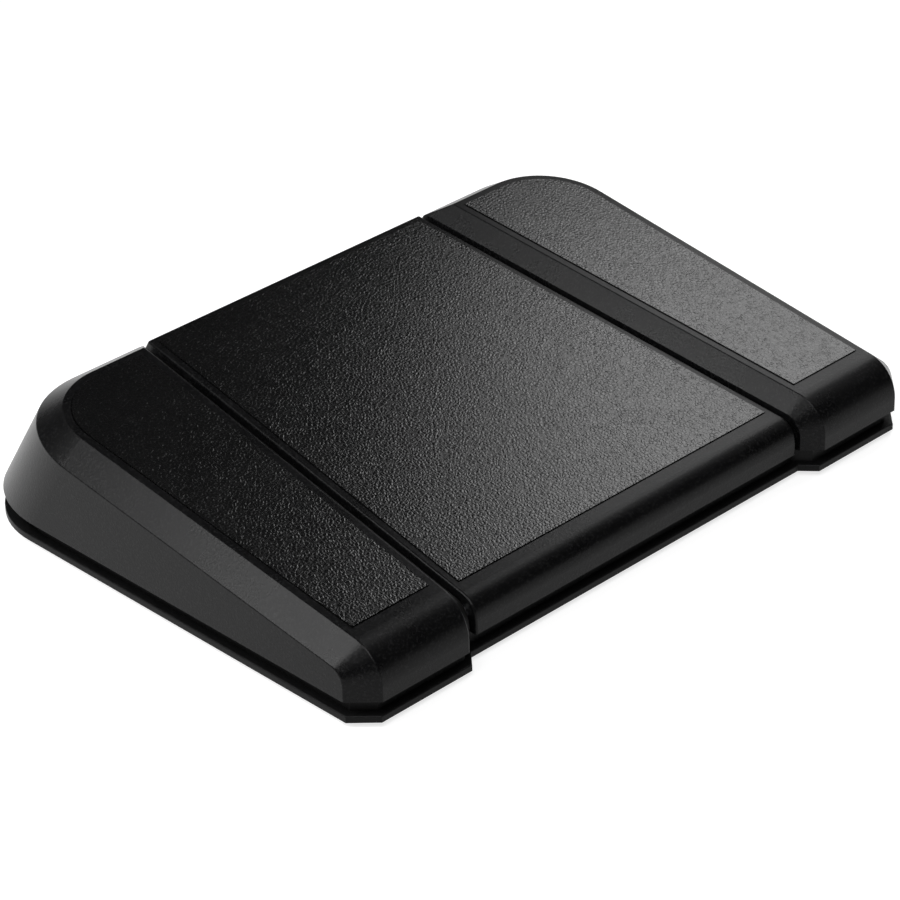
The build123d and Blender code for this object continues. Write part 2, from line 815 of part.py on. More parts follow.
def switch_screws():
    """Screws through the three switch bodies into their brackets."""
    solids = []
    for x, side in switch_lanes:
        for y in switch_holes():
            turn = Rot(0, -90 * side, 0)
            place = Pos(x - side * switch_width / 2, y, switch_hole_z)
            screw = pan_screw(switch_width + bracket_thickness, switch_screw_radius, switch_screw_head_radius,
                              switch_screw_head_height, switch_socket_radius, switch_socket_depth)
            solids.append(place * turn * screw)
    return group(solids)


def spring_coil():
    """Return spring: one unbroken helix of short straight steps from the tray's seat to the pedal's boss."""
    rise = spring_length - 2 * spring_wire
    steps = round(spring_turns * spring_steps)
    points = []
    for step in range(steps + 1):
        angle = 2 * pi * spring_turns * step / steps
        points.append((spring_radius * cos(angle), spring_radius * sin(angle), rise * step / steps))
    path = Polyline(*points)
    start = Plane(origin=path @ 0, z_dir=path % 0)
    wire = sweep(start * RegularPolygon(spring_wire, wire_sides), path, transition=Transition.RIGHT)
    return Pos(0, behind(spring_place), floor_top + spring_seat_height + spring_wire) * wire


def catch(x):
    """Tray post with the lip over a pedal hook's toe."""
    half = hook_width / 2
    y0 = behind(hook_place) + hook_clearance
    y1 = behind(hook_place) + hook_toe + hook_clearance
    lip_z = hook_toe_z + hook_toe_height + seat_gap
    lip = block(x - half, x + half, y0, y1 + catch_thickness, lip_z, lip_z + catch_lip_height)
    return lip + block(x - half, x + half, y1, y1 + catch_thickness, floor_top, lip_z + catch_lip_height)


def base_tray():
    """Moulded tray: low wall behind the shadow gap, cradles, spring seats, brackets and catches."""
    outer = plate_outline(tray_inset, tray_back_inset, 0)
    inner = plate_outline(tray_inset + tray_wall, tray_back_inset + tray_wall, tray_wall)
    wall_top = skirt_z - tray_wall_gap
    solid = prism(outer, plate_top, wall_top) - prism(inner, floor_top, wall_top)
    for x in (-cradle_side_x, -cradle_centre_x, cradle_centre_x, cradle_side_x):
        solid += cradle(x)
    for x, side in switch_lanes:
        solid += switch_bracket(x, side)
    for x in spring_lanes:
        y = behind(spring_place)
        solid += post(x, y, floor_top, floor_top + spring_seat_height, spring_boss_radius)
        solid += post(x, y, floor_top, floor_top + spring_seat_height + spring_post_height, spring_seat_post)
        y = behind(stop_place)
        ring = post(x, y, floor_top, floor_top + stop_ring_height, stop_radius + stop_ring)
        solid += ring - post(x, y, floor_top, floor_top + stop_ring_height, stop_radius + screw_gap)
    for x in (-side_lane_x, -hook_centre_x, hook_centre_x, side_lane_x):
        solid += catch(x)
    for x, y in board_holes():
        solid += post(x, y, floor_top, board_low_z, board_post_radius)
        solid -= post(x, y, board_top_z - board_screw_length, board_low_z, screw_radius + screw_gap)
    for x, y in base_screw_places():
        solid += post(x, y, floor_top, floor_top + screw_boss_height, screw_boss_radius)
        solid -= post(x, y, plate_top, foot_height + base_screw_length, screw_radius + screw_gap)
    solid += block(-tower_half, tower_half, tray_back - tray_wall, tray_back, floor_top, tower_top)
    return solid - inlet_window()


def inlet_window():
    """Opening in the tray's back wall for the inlet."""
    gap = tower_window_gap
    outline = RectangleRounded(inlet_width + 2 * gap, inlet_height + 2 * gap, inlet_corner + gap)
    face = Plane(origin=(0, tray_back + overrun, inlet_z), x_dir=(1, 0, 0), z_dir=(0, -1, 0)) * outline
    return extrude(face, tray_wall + 2 * overrun, dir=(0, -1, 0))


def board_holes():
    """Places of the control board's four screws."""
    x = board_width / 2 - board_hole_inset
    near = board_back - board_length + board_hole_inset
    return [(side * x, y) for side in (-1, 1) for y in (near, board_back - board_hole_inset)]


def control_board():
    """Printed circuit board behind the centre switch."""
    outline = Pos(0, board_back - board_length / 2) * RectangleRounded(board_width, board_length, board_corner)
    solid = prism(outline, board_low_z, board_top_z)
    for x, y in board_holes():
        solid -= post(x, y, board_low_z, board_top_z, screw_radius + screw_gap)
    return solid


def inlet_tube(y0, y1, less):
    """Rounded bar along Y in the inlet's section, thinner all round by less."""
    outline = RectangleRounded(inlet_width - 2 * less, inlet_height - 2 * less, inlet_corner - less)
    face = Plane(origin=(0, y1, inlet_z), x_dir=(1, 0, 0), z_dir=(0, -1, 0)) * outline
    return extrude(face, y1 - y0, dir=(0, -1, 0))


def usb_receptacle():
    """Steel shell of the inlet, open to the back."""
    mouth = tray_back - inlet_setback
    return inlet_tube(mouth - inlet_length, mouth, 0) - inlet_tube(mouth - inlet_length + inlet_floor, mouth, inlet_shell)


def usb_tongue():
    """Contact tongue inside the inlet."""
    half = tongue_width / 2
    y0 = tray_back - inlet_setback - inlet_length + inlet_floor
    thick = tongue_thickness / 2
    return block(-half, half, y0, y0 + tongue_length, inlet_z - thick, inlet_z + thick)


def microcontroller():
    """Square chip in the middle of the board."""
    y = board_back - board_length + chip_shift
    half = chip_size / 2
    solid = block(-half, half, y - half, y + half, board_top_z, board_top_z + chip_height)
    return chamfer(solid.edges().group_by(Axis.Z)[-1], chip_height / 4)


def board_plugs():
    """Plug connectors where the switch leads meet the board."""
    y = board_back - board_length + plug_edge_gap
    solids = []
    for x in (-plug_shift, 0, plug_shift):
        solids.append(block(x - plug_width / 2, x + plug_width / 2, y - plug_edge_gap, y + plug_length - plug_edge_gap,
                            board_top_z, board_top_z + plug_height))
    return group(solids)


def lead_route(x, side, back, x_plug, row):
    """Route of a lead from a terminal, along the floor and up to its plug; back is 1 for the rear one."""
    y = terminal_places()[2 * back]
    exit_x = x - side * terminal_thickness / 2
    lane_x = exit_x - side * (lead_exit + (1 - back) * lead_pitch)
    plug_z = board_top_z + plug_height / 2
    return ((exit_x, y, lead_z), (lane_x, y, lead_z), (lane_x, row, lead_z), (x_plug, row, lead_z),
            (x_plug, board_front - lead_rise_start, lead_z), (x_plug, board_front - lead_rise_end, plug_z),
            (x_plug, board_front, plug_z))


def lead(route):
    """Switch lead along a route of straight runs and tangent arcs."""
    path = FilletPolyline(*route, radius=lead_bend)
    start = Plane(origin=path @ 0, z_dir=path % 0)
    return sweep(start * RegularPolygon(lead_radius, lead_sides), path)


def side_leads():
    """Both leads of the right switch."""
    half = lead_pitch / 2
    return group([lead(lead_route(side_lane_x, 1, back, plug_shift - half + back * lead_pitch,
                                  lead_row_side + back * lead_pitch)) for back in (0, 1)])


def centre_leads():
    """Both leads of the centre switch."""
    half = lead_pitch / 2
    return group([lead(lead_route(0, 1, back, back * lead_pitch - half,
                                  lead_row_centre + (1 - back) * lead_pitch)) for back in (0, 1)])


def hinge_shaft():
    """One steel shaft for all three pedals, grooved for the clips at its ends."""
    reach = half_width - shaft_end_gap
    solid = rod(-reach, reach, axis_y, axis_z, shaft_radius)
    for side in (-1, 1):
        x = side * (reach - clip_inset)
        cutter = rod(x - clip_thickness / 2, x + clip_thickness / 2, axis_y, axis_z, shaft_radius + overrun)
        solid -= cutter - rod(x - clip_thickness, x + clip_thickness, axis_y, axis_z, shaft_radius - clip_groove_depth)
    return solid


def shaft_clips():
    """Spring clips in the shaft's end grooves, each open towards the floor."""
    solids = []
    for side in (-1, 1):
        x = side * (half_width - shaft_end_gap - clip_inset)
        half = clip_thickness / 2
        inner = shaft_radius - clip_groove_depth
        ring = rod(x - half, x + half, axis_y, axis_z, clip_radius)
        ring -= rod(x - half, x + half, axis_y, axis_z, inner)
        solids.append(ring - block(x - half, x + half, axis_y - inner, axis_y + inner, skirt_z - front_wall, axis_z))
    return group(solids)


def cap_screws():
    """Screws that hold the shaft caps on their cradles."""
    solids = []
    for x in (-cradle_side_x, -cradle_centre_x, cradle_centre_x, cradle_side_x):
        place = Pos(x, behind(cap_screw_place), axis_z + cap_ear)
        solids.append(place * case_screw(cap_screw_length))
    return group(solids)


def board_screws():
    """Screws that hold the board on its posts."""
    return group([Pos(x, y, board_top_z) * case_screw(board_screw_length) for x, y in board_holes()])


def stop_bumpers():
    """Rubber stops under the pedals."""
    y = behind(stop_place)
    return group([post(x, y, floor_top, floor_top + stop_height, stop_radius) for x in spring_lanes])


def to_left(solid):
    """The same piece mirrored to the left side."""
    return mirror(solid, about=Plane.YZ)


def build():
    """Every node of the switch by name."""
    housing = side_housing()
    pad = side_pad(-pad_gap, pad_recess + pad_proud, -pad_recess)
    side_bushes = bushes(((cradle_side_x - arm_reach, 1), (cradle_side_x + arm_reach, -1)))
    wires = side_leads()
    coil = spring_coil()
    nodes = {
        "base_plate": base_plate(),
        "base_tray": base_tray(),
        "base_screws": base_screws(),
        "rubber_feet": rubber_feet(),
        "hinge_shaft": hinge_shaft(),
        "shaft_clips": shaft_clips(),
        "shaft_caps": group([shaft_cap(x) for x in (-cradle_side_x, -cradle_centre_x, cradle_centre_x, cradle_side_x)]),
        "shaft_cap_screws": cap_screws(),
        "stop_bumpers": stop_bumpers(),
        "left_return_spring": Pos(-side_lane_x, 0, 0) * coil,
        "centre_return_springs": group([Pos(-centre_lane_x, 0, 0) * coil, Pos(centre_lane_x, 0, 0) * coil]),
        "right_return_spring": Pos(side_lane_x, 0, 0) * coil,
        "left_pedal_housing": to_left(housing),
        "centre_pedal_housing": centre_housing(),
        "right_pedal_housing": housing,
        "left_tread_pad": to_left(pad),
        "centre_tread_pad": centre_pad(-pad_gap, pad_recess + pad_proud, -pad_recess),
        "right_tread_pad": pad,
        "left_hinge_bushes": group([to_left(side_bushes)]),
        "centre_hinge_bushes": bushes(((-arm_centre_x, 1), (arm_centre_x, -1))),
        "right_hinge_bushes": side_bushes,
        "left_switch_leads": group([to_left(wires)]),
        "centre_switch_leads": centre_leads(),
        "right_switch_leads": wires,
        "switch_screws": switch_screws(),
        "switch_terminals": group([blade for x, side in switch_lanes for blade in switch_terminals(x)]),
        "control_board": control_board(),
        "board_screws": board_screws(),
        "board_plugs": board_plugs(),
        "microcontroller": microcontroller(),
        "usb_receptacle": usb_receptacle(),
        "usb_tongue": usb_tongue(),
    }
    for name, (x, side) in zip(("left", "centre", "right"), switch_lanes):
        nodes[name + "_switch_body"] = switch_body(x)
        nodes[name + "_switch_lever"] = switch_lever(x)
        nodes[name + "_switch_plunger"] = switch_plunger(x)
    return nodes


if __name__ == "__main__":
    os.makedirs("parts", exist_ok=True)
    for name, solid in build().items():
        export_step(solid, "parts/" + name + ".step")
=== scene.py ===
"""Looks of the three-pedal foot switch: camera, studio, finishes and the detailed small pieces."""

import json
import logging
import math
from dataclasses import dataclass
from enum import Enum
from typing import ClassVar, Sequence

import bpy
import numpy as np
from mathutils import Matrix, Vector

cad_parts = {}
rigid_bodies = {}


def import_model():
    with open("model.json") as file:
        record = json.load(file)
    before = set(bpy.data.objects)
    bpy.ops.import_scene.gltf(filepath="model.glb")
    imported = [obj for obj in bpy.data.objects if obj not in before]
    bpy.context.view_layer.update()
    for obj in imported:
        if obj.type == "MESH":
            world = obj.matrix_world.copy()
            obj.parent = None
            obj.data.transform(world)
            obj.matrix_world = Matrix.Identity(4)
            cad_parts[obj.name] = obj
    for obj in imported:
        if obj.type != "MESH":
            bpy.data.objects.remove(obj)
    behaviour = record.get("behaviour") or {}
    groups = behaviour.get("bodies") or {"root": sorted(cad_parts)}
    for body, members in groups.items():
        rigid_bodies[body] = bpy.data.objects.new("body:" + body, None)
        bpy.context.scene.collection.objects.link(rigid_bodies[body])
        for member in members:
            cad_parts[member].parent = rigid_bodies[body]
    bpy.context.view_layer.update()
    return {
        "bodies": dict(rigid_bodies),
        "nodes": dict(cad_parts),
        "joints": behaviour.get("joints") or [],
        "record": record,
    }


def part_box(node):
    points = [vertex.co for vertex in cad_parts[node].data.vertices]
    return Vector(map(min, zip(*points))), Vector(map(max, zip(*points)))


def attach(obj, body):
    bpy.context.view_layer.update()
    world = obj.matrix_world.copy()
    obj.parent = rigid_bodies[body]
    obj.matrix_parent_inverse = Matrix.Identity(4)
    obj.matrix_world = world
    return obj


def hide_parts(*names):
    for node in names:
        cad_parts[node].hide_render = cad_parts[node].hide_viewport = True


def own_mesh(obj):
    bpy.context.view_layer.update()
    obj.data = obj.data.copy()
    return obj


LOG = logging.getLogger("foot_switch")
SIDES = ("left", "centre", "right")
WHITE = (1.0, 1.0, 1.0, 1.0)


class Grain(Enum):
    """Kinds of moulded surface texture."""

    PEBBLE = "pebble"
    SPARK = "spark"
    POWDER = "powder"


def new_group(name: str, inputs: Sequence[tuple], outputs: Sequence[tuple]) -> bpy.types.NodeTree:
    """Makes an empty shader node group with named sockets.

    Args:
        name: name of the group.
        inputs: (name, socket type, default) of each input.
        outputs: (name, socket type) of each output.

    Returns:
        The node group, with its group input and output nodes in place.
    """
    group = bpy.data.node_groups.new(name, "ShaderNodeTree")
    for label, kind, default in inputs:
        socket = group.interface.new_socket(name=label, in_out="INPUT", socket_type=kind)
        if default is not None:
            socket.default_value = default
    for label, kind in outputs:
        group.interface.new_socket(name=label, in_out="OUTPUT", socket_type=kind)
    group.nodes.new("NodeGroupInput")
    group.nodes.new("NodeGroupOutput")
    return group


class Wiring:
    """Short-hand for placing and joining nodes in one node tree."""

    def __init__(self, tree: bpy.types.NodeTree) -> None:
        """Keeps the tree that the nodes go into."""
        self.tree = tree

    def node(self, kind: str, **values: object) -> bpy.types.Node:
        """Adds a node.

        Args:
            kind: Blender's name of the node type.
            values: attributes of the node.

        Returns:
            The new node.
        """
        made = self.tree.nodes.new(kind)
        for key, value in values.items():
            setattr(made, key, value)
        return made

    def feed(self, socket: bpy.types.NodeSocket, source: object) -> None:
        """Links a socket to a source, or sets its value where the source is a plain number or colour.

        Args:
            socket: the input to feed.
            source: a socket, a number, a colour, or None to leave the input as it is.
        """
        if isinstance(source, bpy.types.NodeSocket):
            self.tree.links.new(source, socket)
        elif source is not None:
            socket.default_value = source

    def sums(self, operation: str, a: object, b: object = None, c: object = None,
             clamp: bool = False) -> bpy.types.NodeSocket:
        """Adds a Math node and returns its result.

        Args:
            operation: Blender's name of the operation.
            a: first number or socket.
            b: second number or socket.
            c: third number or socket.
            clamp: whether the result stays between 0 and 1.

        Returns:
            The output socket.
        """
        made = self.node("ShaderNodeMath", operation=operation, use_clamp=clamp)
        for socket, source in zip(made.inputs, (a, b, c)):
            self.feed(socket, source)
        return made.outputs[0]

    def ramp(self, value: object, low: float, high: float, out_low: object = 0.0,
             out_high: object = 1.0) -> bpy.types.NodeSocket:
        """Maps a value smoothly from one span to another.

        Args:
            value: the socket to map.
            low: value that gives out_low.
            high: value that gives out_high.
            out_low: result at low, a number or a socket.
            out_high: result at high, a number or a socket.

        Returns:
            The output socket.
        """
        made = self.node("ShaderNodeMapRange", interpolation_type="SMOOTHSTEP")
        self.feed(made.inputs["Value"], value)
        ends = {"From Min": low, "From Max": high, "To Min": out_low, "To Max": out_high}
        for label, source in ends.items():
            self.feed(made.inputs[label], source)
        return made.outputs["Result"]

    def blend(self, share: object, a: object, b: object) -> bpy.types.NodeSocket:
        """Mixes two colours.

        Args:
            share: how much of the second colour there is, from 0 to 1.
            a: first colour.
            b: second colour.

        Returns:
            The output socket.
        """
        made = self.node("ShaderNodeMix", data_type="RGBA")
        self.feed(made.inputs["Factor"], share)
        self.feed(made.inputs["A"], a)
        self.feed(made.inputs["B"], b)
        return made.outputs["Result"]

    def noise(self, place: bpy.types.NodeSocket, scale: object, detail: float) -> bpy.types.Node:
        """Adds a noise texture.

        Args:
            place: the coordinates that it reads.
            scale: waves per metre, a number or a socket.
            detail: number of finer layers.

        Returns:
            The texture node.
        """
        made = self.node("ShaderNodeTexNoise")
        self.feed(made.inputs["Vector"], place)
        self.feed(made.inputs["Scale"], scale)
        self.feed(made.inputs["Detail"], detail)
        return made

    def cells(self, place: bpy.types.NodeSocket, scale: object, feature: str) -> bpy.types.Node:
        """Adds a cell texture.

        Args:
            place: the coordinates that it reads.
            scale: cells per metre, a number or a socket.
            feature: Blender's name of what it measures.

        Returns:
            The texture node.
        """
        made = self.node("ShaderNodeTexVoronoi", feature=feature)
        self.feed(made.inputs["Vector"], place)
        self.feed(made.inputs["Scale"], scale)
        return made

    def placed(self, group: bpy.types.NodeTree, place: bpy.types.NodeSocket) -> bpy.types.Node:
        """Adds a shared group that reads the given coordinates."""
        made = self.node("ShaderNodeGroup", node_tree=group)
        self.feed(made.inputs["Vector"], place)
        return made


class GroupShelf:
    """The node groups that several finishes share, each built once."""

    cloud_scale = 45.0                         # broad clouds per metre
    cloud_span = (0.3, 0.7)                    # noise from the darkest to the lightest tone
    gloss_span = (0.25, 0.75)                  # noise from the least to the most roughness
    warp_scale = 700.0                         # waves per metre in the edges of the cells
    warp_reach = 0.0007                        # metres that those edges wander
    dome_span = (0.0, 0.34)                    # way from a cell's edge over which its dome rises
    crease_span = (0.0, 0.2)                   # way from a cell's edge over which its crease mask, which carries painted shade, fades
    lowest_dome = 0.55                         # height of the lowest cell
    dome_share, grit_share = 0.7, 0.3          # parts of the pebble's height
    grit_scale = 3800.0                        # grit per metre
    coarse_share, fine_share = 0.65, 0.35      # parts of the speckle's height
    fine_ratio = 4.0                           # how much finer the speckle's second noise is
    painted_glint_span = (0.5, 0.68)                   # height of the speckle from no painted glint to a full one
    bevel_samples = 4
    turn_span = (0.995, 0.93)                  # cosine of the normal's turn, from flat to edge
    rub_scale, rub_span = 180.0, (0.35, 0.6)   # rubbed patches per metre, and their noise
    upward_span = (0.3, 0.95)                  # upward share of the normal, from clean to dusty
    dust_layers = ((26.0, 0.4, 0.75), (900.0, 0.45, 0.7))  # dust patches per metre, and their noise

    def __init__(self) -> None:
        """Builds all the groups."""
        self.mottling = self._mottling()
        self.pebble = self._pebble()
        self.speckle = self._speckle()
        self.edge_wear = self._edge_wear()
        self.dust = self._dust()

    def _mottling(self) -> bpy.types.NodeTree:
        """Broad clouds of tone and gloss, as moulded and coated surfaces have them.

        Returns:
            The group. Colour = dark to light, and Roughness = least to most, by one broad noise.
        """
        group = new_group("mottling", [
            ("Vector", "NodeSocketVector", None), ("Dark", "NodeSocketColor", WHITE),
            ("Light", "NodeSocketColor", WHITE), ("Least roughness", "NodeSocketFloat", 0.4),
            ("Most roughness", "NodeSocketFloat", 0.5)],
            [("Colour", "NodeSocketColor"), ("Roughness", "NodeSocketFloat")])
        w = Wiring(group)
        start, end = group.nodes[0], group.nodes[1]
        cloud = w.noise(start.outputs["Vector"], self.cloud_scale, 4.0).outputs["Fac"]
        share = w.ramp(cloud, *self.cloud_span)
        w.feed(end.inputs["Colour"], w.blend(share, start.outputs["Dark"], start.outputs["Light"]))
        w.feed(end.inputs["Roughness"], w.ramp(cloud, *self.gloss_span, start.outputs["Least roughness"],
                                               start.outputs["Most roughness"]))
        return group

    def _pebble(self) -> bpy.types.NodeTree:
        """Leather-like grain: rounded cells with creases between them, and a finer grit on top.

        Returns:
            The group. Height = 0.7 smooth(distance to the cell's edge) x cell's own height + 0.3 grit. The
            second output is a mask of the creases, which carries painted shade.
        """
        group = new_group("pebble_grain", [
            ("Vector", "NodeSocketVector", None), ("Grains per metre", "NodeSocketFloat", 1100.0),
            ("Unevenness", "NodeSocketFloat", 0.5)],
            [("Height", "NodeSocketFloat"), ("Crease", "NodeSocketFloat")])
        w = Wiring(group)
        start, end = group.nodes[0], group.nodes[1]
        warp = w.noise(start.outputs["Vector"], self.warp_scale, 2.0)
        shift = w.node("ShaderNodeVectorMath", operation="MULTIPLY_ADD")
        for socket, source in zip(shift.inputs, (warp.outputs["Color"], (self.warp_reach,) * 3,
                                                 start.outputs["Vector"])):
            w.feed(socket, source)
        edge, cell = (w.cells(shift.outputs[0], start.outputs["Grains per metre"], feature)
                      for feature in ("DISTANCE_TO_EDGE", "F1"))
        tone = w.node("ShaderNodeSeparateColor")
        w.feed(tone.inputs[0], cell.outputs["Color"])
        dome = w.ramp(edge.outputs["Distance"], *self.dome_span)
        own = w.sums("MULTIPLY_ADD", tone.outputs[0], start.outputs["Unevenness"], self.lowest_dome)
        grit = w.noise(start.outputs["Vector"], self.grit_scale, 2.0)
        body = w.sums("MULTIPLY", w.sums("MULTIPLY", dome, own), self.dome_share)
        w.feed(end.inputs["Height"], w.sums("MULTIPLY_ADD", grit.outputs["Fac"], self.grit_share, body))
        w.feed(end.inputs["Crease"], w.ramp(edge.outputs["Distance"], *self.crease_span, 1.0, 0.0))
        return group

    def _speckle(self) -> bpy.types.NodeTree:
        """Fine texture of a spark-eroded or powder-coated surface.

        Returns:
            The group. Height = 0.65 fine noise + 0.35 noise four times finer. The second output is a mask of
            the texture's tops, where painted glints go.
        """
        group = new_group("fine_speckle", [
            ("Vector", "NodeSocketVector", None), ("Grains per metre", "NodeSocketFloat", 3000.0)],
            [("Height", "NodeSocketFloat"), ("Painted glint", "NodeSocketFloat")])
        w = Wiring(group)
        start, end = group.nodes[0], group.nodes[1]
        coarse = w.noise(start.outputs["Vector"], start.outputs["Grains per metre"], 1.0)
        finer = w.sums("MULTIPLY", start.outputs["Grains per metre"], self.fine_ratio)
        fine = w.noise(start.outputs["Vector"], finer, 1.0)
        part = w.sums("MULTIPLY", coarse.outputs["Fac"], self.coarse_share)
        height = w.sums("MULTIPLY_ADD", fine.outputs["Fac"], self.fine_share, part)
        w.feed(end.inputs["Height"], height)
        w.feed(end.inputs["Painted glint"], w.ramp(height, *self.painted_glint_span))
        return group

    def _edge_wear(self) -> bpy.types.NodeTree:
        """Mask of the edges that hands and shoes polish.

        Returns:
            The group. Mask = how far the rounded normal turns from the true one, broken up by noise.
        """
        group = new_group("edge_wear", [
            ("Vector", "NodeSocketVector", None), ("Reach", "NodeSocketFloat", 0.0012)],
            [("Mask", "NodeSocketFloat")])
        w = Wiring(group)
        start, end = group.nodes[0], group.nodes[1]
        bevel = w.node("ShaderNodeBevel", samples=self.bevel_samples)
        w.feed(bevel.inputs["Radius"], start.outputs["Reach"])
        true = w.node("ShaderNodeNewGeometry")
        dot = w.node("ShaderNodeVectorMath", operation="DOT_PRODUCT")
        w.feed(dot.inputs[0], bevel.outputs[0])
        w.feed(dot.inputs[1], true.outputs["True Normal"])
        turn = w.ramp(dot.outputs["Value"], *self.turn_span)
        patch = w.noise(start.outputs["Vector"], self.rub_scale, 3.0)
        w.feed(end.inputs["Mask"], w.sums("MULTIPLY", turn, w.ramp(patch.outputs["Fac"], *self.rub_span)))
        return group

    def _dust(self) -> bpy.types.NodeTree:
        """Mask of the dust that settles on faces that look up.

        Returns:
            The group. Mask = smooth(upward share of the normal) x broad noise x fine noise.
        """
        group = new_group("settled_dust", [("Vector", "NodeSocketVector", None)],
                          [("Mask", "NodeSocketFloat")])
        w = Wiring(group)
        start, end = group.nodes[0], group.nodes[1]
        facing = w.node("ShaderNodeNewGeometry")
        split = w.node("ShaderNodeSeparateXYZ")
        w.feed(split.inputs[0], facing.outputs["True Normal"])
        up = w.ramp(split.outputs["Z"], *self.upward_span)
        broad, fine = (w.ramp(w.noise(start.outputs["Vector"], scale, 3.0).outputs["Fac"], low, high)
                       for scale, low, high in self.dust_layers)
        w.feed(end.inputs["Mask"], w.sums("MULTIPLY", up, w.sums("MULTIPLY", broad, fine)))
        return group


@dataclass(frozen=True)
class Finish:
    """One surface finish, from which its material is built.

    Attributes:
        name: name of the material.
        colour: base colour.
        roughness: middle roughness.
        pitch: metres from grain to grain.
        depth: metres that the grain stands up.
        metallic: 1 for bare metal.
        specular: strength of the mirror layer.
        grain: kind of texture.
        mottle: how far the tone wanders from its middle.
        wear: how strongly the edges are rubbed.
        dust: how much dust lies on faces that look up.
        coat: strength of a clear lacquer.
        painted_glint: how strongly painted glints show on the tops of a fine texture.
    """

    name: str
    colour: tuple
    roughness: float
    pitch: float
    depth: float
    metallic: float = 0.0
    specular: float = 0.5
    grain: Grain = Grain.SPARK
    mottle: float = 0.12
    wear: float = 0.0
    dust: float = 0.0
    coat: float = 0.0
    painted_glint: float = 0.25

    gloss_change: ClassVar[float] = 0.06
    # painted shade in the pebble's creases: share of a darker copy of the colour, and that copy's tone
    # against the finish's colour
    painted_crease_shade_share: ClassVar[float] = 0.45
    painted_crease_shade_tone: ClassVar[float] = 0.35
    crease_roughness: ClassVar[float] = 0.10
    # painted glints on the tops of a fine texture: a lighter copy of the colour, the finish's colour times
    # gain plus lift
    painted_glint_gain: ClassVar[float] = 1.6
    painted_glint_lift: ClassVar[float] = 0.02
    worn_gain: ClassVar[float] = 2.0
    worn_lift: ClassVar[float] = 0.012
    worn_polish: ClassVar[float] = 0.1
    dust_colour: ClassVar[tuple] = (0.32, 0.31, 0.29, 1.0)
    dust_roughness: ClassVar[float] = 0.2

    def shade(self, gain: float, lift: float = 0.0) -> tuple:
        """The finish's colour times gain plus lift, at most 1, with full alpha."""
        return (*(min(1.0, c * gain + lift) for c in self.colour), 1.0)

    def material(self, shelf: GroupShelf) -> bpy.types.Material:
        """Builds the material.

        Args:
            shelf: the shared node groups.

        Returns:
            The material, in Object coordinates throughout.
        """
        made = bpy.data.materials.new(self.name)
        made.use_nodes = True
        made.diffuse_color = self.shade(1.0)
        w = Wiring(made.node_tree)
        shader = made.node_tree.nodes["Principled BSDF"]
        place = w.node("ShaderNodeTexCoord").outputs["Object"]
        self._lay(w, shelf, place, shader)
        shader.inputs["Metallic"].default_value = self.metallic
        shader.inputs["Specular IOR Level"].default_value = self.specular
        shader.inputs["Coat Weight"].default_value = self.coat
        return made

    def _lay(self, w: Wiring, shelf: GroupShelf, place: bpy.types.NodeSocket,
             shader: bpy.types.Node) -> None:
        """Lays mottling, grain, painted shade in a pebble grain's creases, painted glints on a fine grain's
        tops, wear and dust, and feeds the shader's colour, roughness and normal.

        Args:
            w: wiring of the material.
            shelf: the shared node groups.
            place: Object coordinates.
            shader: the material's Principled BSDF.
        """
        cloud = w.placed(shelf.mottling, place)
        w.feed(cloud.inputs["Dark"], self.shade(1.0 - self.mottle))
        w.feed(cloud.inputs["Light"], self.shade(1.0 + self.mottle))
        w.feed(cloud.inputs["Least roughness"], self.roughness * (1.0 - self.gloss_change))
        w.feed(cloud.inputs["Most roughness"], self.roughness * (1.0 + self.gloss_change))
        tone, rough = cloud.outputs["Colour"], cloud.outputs["Roughness"]
        pebbled = self.grain is Grain.PEBBLE
        grain = w.placed(shelf.pebble if pebbled else shelf.speckle, place)
        w.feed(grain.inputs["Grains per metre"], 1.0 / self.pitch)
        bump = w.node("ShaderNodeBump")
        bump.inputs["Strength"].default_value = 1.0
        bump.inputs["Distance"].default_value = self.depth
        w.feed(bump.inputs["Height"], grain.outputs["Height"])
        w.feed(shader.inputs["Normal"], bump.outputs["Normal"])
        if pebbled:
            crease = grain.outputs["Crease"]
            # painted shade: the creases darken towards a darker copy of the finish's colour, and grow
            # rougher
            tone = w.blend(w.sums("MULTIPLY", crease, self.painted_crease_shade_share), tone, self.shade(self.painted_crease_shade_tone))
            rough = w.sums("MULTIPLY_ADD", crease, self.crease_roughness, rough)
        else:
            # painted glints: the tops of the fine texture lighten towards a lighter copy of the finish's
            # colour
            tone = w.blend(w.sums("MULTIPLY", grain.outputs["Painted glint"], self.painted_glint), tone,
                           self.shade(self.painted_glint_gain, self.painted_glint_lift))
        if self.wear:
            worn = w.placed(shelf.edge_wear, place)
            mask = w.sums("MULTIPLY", worn.outputs["Mask"], self.wear)
            tone = w.blend(mask, tone, self.shade(self.worn_gain, self.worn_lift))
            rough = w.sums("SUBTRACT", rough, w.sums("MULTIPLY", mask, self.worn_polish))
        if self.dust:
            settled = w.placed(shelf.dust, place)
            mask = w.sums("MULTIPLY", settled.outputs["Mask"], self.dust)
            tone = w.blend(mask, tone, self.dust_colour)
            rough = w.sums("ADD", rough, w.sums("MULTIPLY", mask, self.dust_roughness), clamp=True)
        w.feed(shader.inputs["Base Color"], tone)
        w.feed(shader.inputs["Roughness"], rough)


